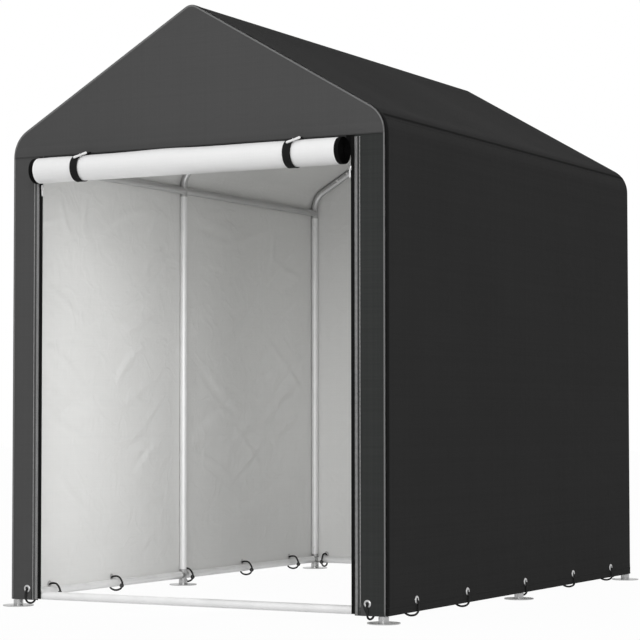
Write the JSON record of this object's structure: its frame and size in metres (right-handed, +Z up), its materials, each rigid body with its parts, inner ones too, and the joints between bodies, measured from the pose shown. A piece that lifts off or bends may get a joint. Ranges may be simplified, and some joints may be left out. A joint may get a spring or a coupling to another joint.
{
  "type": "bike shelter",
  "caption": "Gabled steel tube frame under a fitted dark cloth cover, open at the front where its door is rolled up and strapped, for storing bicycles.",
  "frame": {"origin": "on the ground, at the middle of the whole object's footprint, door roll and feet included", "axes": "+X to the right seen from the door, +Y from the door to the back, +Z up"},
  "size_m": [1.3654, 2.0546, 1.8155],
  "materials": {
    "cover_cloth": "woven coated cloth, dark grey outside and white inside",
    "door_cloth": "woven coated cloth, its white side out when rolled",
    "webbing": "flat woven webbing",
    "zip": "woven zip tape with plastic teeth",
    "toggle": "moulded bar",
    "elastic": "braided elastic cord with a moulded ball",
    "eyelet_metal": "plated and polished",
    "foot_steel": "zinc plated",
    "frame_steel": "light grey powder coat"
  },
  "bodies": {
    "root": {"back_ties": "elastic", "back_wall": "cover_cloth", "door_roll": "door_cloth", "door_straps": "webbing", "door_toggles": "toggle", "eyelets": "eyelet_metal", "front_eave_bends": "frame_steel", "front_gable": "cover_cloth", "front_left_foot": "foot_steel", "front_left_leg": "frame_steel", "front_rafters": "frame_steel", "front_ridge_bend": "frame_steel", "front_right_foot": "foot_steel", "front_right_leg": "frame_steel", "front_sill": "frame_steel", "front_ties": "elastic", "left_bottom_rail": "frame_steel", "left_eave_rail": "frame_steel", "left_front_strip": "cover_cloth", "left_ties": "elastic", "left_wall": "cover_cloth", "left_zip_tape": "zip", "middle_eave_bends": "frame_steel", "middle_left_foot": "foot_steel", "middle_left_leg": "frame_steel", "middle_rafters": "frame_steel", "middle_ridge_bend": "frame_steel", "middle_right_foot": "foot_steel", "middle_right_leg": "frame_steel", "rear_eave_bends": "frame_steel", "rear_left_foot": "foot_steel", "rear_left_leg": "frame_steel", "rear_rafters": "frame_steel", "rear_ridge_bend": "frame_steel", "rear_right_foot": "foot_steel", "rear_right_leg": "frame_steel", "rear_sill": "frame_steel", "ridge_rail": "frame_steel", "right_bottom_rail": "frame_steel", "right_eave_rail": "frame_steel", "right_front_strip": "cover_cloth", "right_ties": "elastic", "right_wall": "cover_cloth", "right_zip_tape": "zip", "roof_cover": "cover_cloth"}
  },
  "joints": []
}
